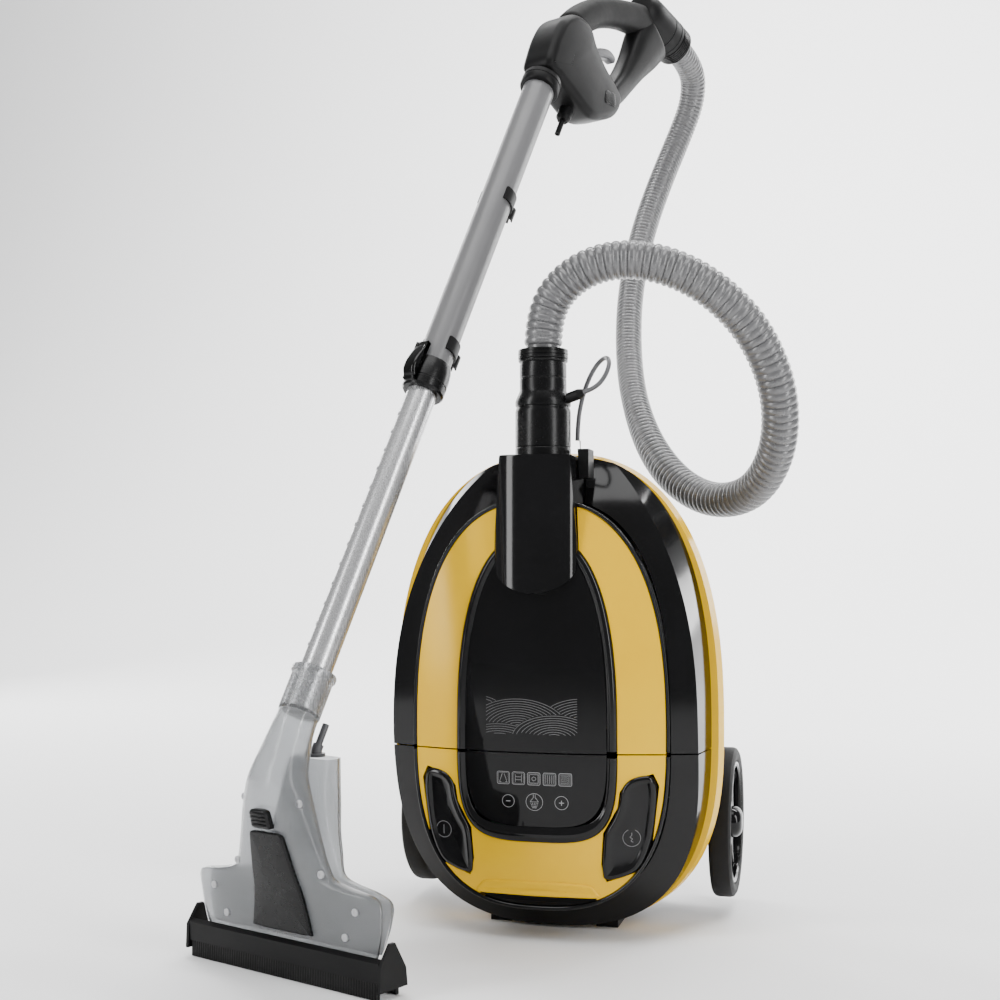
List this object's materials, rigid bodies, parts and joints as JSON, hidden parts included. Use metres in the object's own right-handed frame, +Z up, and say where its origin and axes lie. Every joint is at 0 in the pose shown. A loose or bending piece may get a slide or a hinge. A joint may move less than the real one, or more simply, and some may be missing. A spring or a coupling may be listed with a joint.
{
  "type": "canister extraction vacuum cleaner",
  "caption": "Wheeled wet-and-dry canister vacuum standing on end, with ribbed hose, telescopic wand, pistol handle with spray trigger and a clear spray-extraction floor nozzle.",
  "frame": {"origin": "centre of the canister's standing face, on the floor", "axes": "+Z up, -Y out of the lid's face, +X to the right as seen from the lid's side"},
  "size_m": [0.5476, 0.7798, 1.0598],
  "materials": {
    "gloss_black": "polished black housing plastic",
    "yellow_lacquer": "glossy yellow housing plastic",
    "dark_window": "polished smoked window",
    "satin_black": "satin black moulded plastic",
    "soft_grip": "soft-touch grip",
    "grey_hose": "semi-gloss grey ribbed hose",
    "grey_tube": "satin grey tube",
    "silver_tube": "brushed inner tube",
    "clear_plastic": "clear moulded plastic",
    "grey_plastic": "light grey plastic",
    "tyre": "soft black tyre",
    "steel": "turned steel",
    "tank_plastic": "natural tank plastic",
    "copper_motor": "moulded motor housing",
    "filter_foam": "pleated filter",
    "board_green": "circuit board"
  },
  "bodies": {
    "canister": {"ring_upper": "gloss_black", "ring_lower": "gloss_black", "rim_band": "yellow_lacquer", "rear_housing": "satin_black", "panel_surround": "gloss_black", "lid_panel": "yellow_lacquer", "grip_panel": "yellow_lacquer", "window_bezel": "gloss_black", "lid_window": "dark_window", "control_panel": "dark_window", "hose_socket": "gloss_black", "water_port": "satin_black", "standing_feet": "satin_black", "hose_cuff": "satin_black", "hose": "grey_hose", "water_tube": "grey_plastic", "tube_relief": "satin_black", "caster_plate": "satin_black", "suction_motor": "copper_motor", "dirty_water_container": "tank_plastic", "clean_water_tank": "tank_plastic", "water_pump": "satin_black", "exhaust_filter": "filter_foam", "circuit_board": "board_green", "exhaust_grille": "satin_black", "cord_outlet": "satin_black", "housing_screws": "steel", "outer_tube": "grey_tube", "lock_collar": "satin_black", "hose_clips": "satin_black", "handle_shell": "satin_black", "handle_neck": "satin_black", "handle_grip": "soft_grip", "steel_pins": "steel", "tube_collar": "satin_black", "water_outlet": "satin_black"},
    "wheel_left": {"wheel_left_tyre": "tyre", "wheel_left_rim": "gloss_black"},
    "wheel_right": {"wheel_right_tyre": "tyre", "wheel_right_rim": "gloss_black"},
    "caster_swivel": {"caster_fork": "satin_black"},
    "caster_roller": {"caster_wheel": "tyre"},
    "power_button": {"power_pedal": "gloss_black"},
    "rewind_button": {"rewind_pedal": "gloss_black"},
    "fan_rotor": {"impeller": "steel"},
    "cord_reel": {"reel_drum": "satin_black"},
    "cuff_ring": {"cuff_swivel": "satin_black"},
    "neck_ring": {"handle_swivel": "satin_black"},
    "trigger": {"spray_trigger": "grey_plastic"},
    "side_button": {"release_button": "satin_black"},
    "tube_lock": {"lock_slider": "gloss_black"},
    "latch": {"cover_latch": "satin_black"},
    "wand": {"inner_tube": "silver_tube", "nozzle_shell": "clear_plastic", "spray_chamber": "clear_plastic", "nozzle_cover": "satin_black", "water_inlet": "grey_plastic", "nozzle_sleeve": "clear_plastic", "floor_adapter": "satin_black", "adapter_lips": "soft_grip"}
  },
  "joints": [
    {"name": "wheel_left_roll", "type": "hinge", "parent": "canister", "child": "wheel_left", "pos_m": [0, 0.062, 0.093], "axis": [1, 0, 0], "continuous": true},
    {"name": "wheel_right_roll", "type": "hinge", "parent": "canister", "child": "wheel_right", "pos_m": [0, 0.062, 0.093], "axis": [1, 0, 0], "continuous": true},
    {"name": "caster_turn", "type": "hinge", "parent": "canister", "child": "caster_swivel", "pos_m": [0, 0.108, 0.4], "axis": [0, 1, 0], "continuous": true},
    {"name": "caster_roll", "type": "hinge", "parent": "caster_swivel", "child": "caster_roller", "pos_m": [0, 0.126, 0.394], "axis": [1, 0, 0], "continuous": true},
    {"name": "power_press", "type": "slide", "parent": "canister", "child": "power_button", "axis": [0, 1, 0], "range_m": [0, 0.003], "stiffness_N_per_m": 1500, "springref_m": -0.001},
    {"name": "rewind_press", "type": "slide", "parent": "canister", "child": "rewind_button", "axis": [0, 1, 0], "range_m": [0, 0.003], "stiffness_N_per_m": 1500, "springref_m": -0.001},
    {"name": "fan_spin", "type": "hinge", "parent": "canister", "child": "fan_rotor", "pos_m": [-0.058, 0.034, 0.1], "axis": [0, 0, 1], "continuous": true},
    {"name": "reel_spin", "type": "hinge", "parent": "canister", "child": "cord_reel", "pos_m": [0.066, 0.03, 0.092], "axis": [0, 1, 0], "continuous": true},
    {"name": "cuff_ring_turn", "type": "hinge", "parent": "canister", "child": "cuff_ring", "pos_m": [0, -0.091, 0.57], "axis": [0, 0, 1], "continuous": true},
    {"name": "neck_ring_turn", "type": "hinge", "parent": "canister", "child": "neck_ring", "pos_m": [0.06184, 0.3311, 1.02502], "axis": [0.366, 0.8991, -0.2402], "continuous": true},
    {"name": "trigger_pull", "type": "hinge", "parent": "canister", "child": "trigger", "pos_m": [-0.01168, 0.15049, 0.94842], "axis": [0.9262, -0.377, 0], "range_deg": [0, 8], "stiffness_Nm_per_rad": 0.6, "springref_deg": -6.88},
    {"name": "button_press", "type": "slide", "parent": "canister", "child": "side_button", "axis": [-0.9262, 0.377, 0], "range_m": [0, 0.0015], "stiffness_N_per_m": 800, "springref_m": -0.0006},
    {"name": "tube_lock_slide", "type": "slide", "parent": "canister", "child": "tube_lock", "axis": [0.1848, 0.454, 0.8716], "range_m": [0, 0.006], "stiffness_N_per_m": 400, "springref_m": -0.002},
    {"name": "wand_telescope", "type": "slide", "parent": "canister", "child": "wand", "axis": [-0.1848, -0.454, -0.8716], "range_m": [0, 0.26]},
    {"name": "latch_lift", "type": "slide", "parent": "wand", "child": "latch", "axis": [-0.0806, -0.1979, 0.9769], "range_m": [0, 0.005], "stiffness_N_per_m": 400, "springref_m": -0.001}
  ]
}
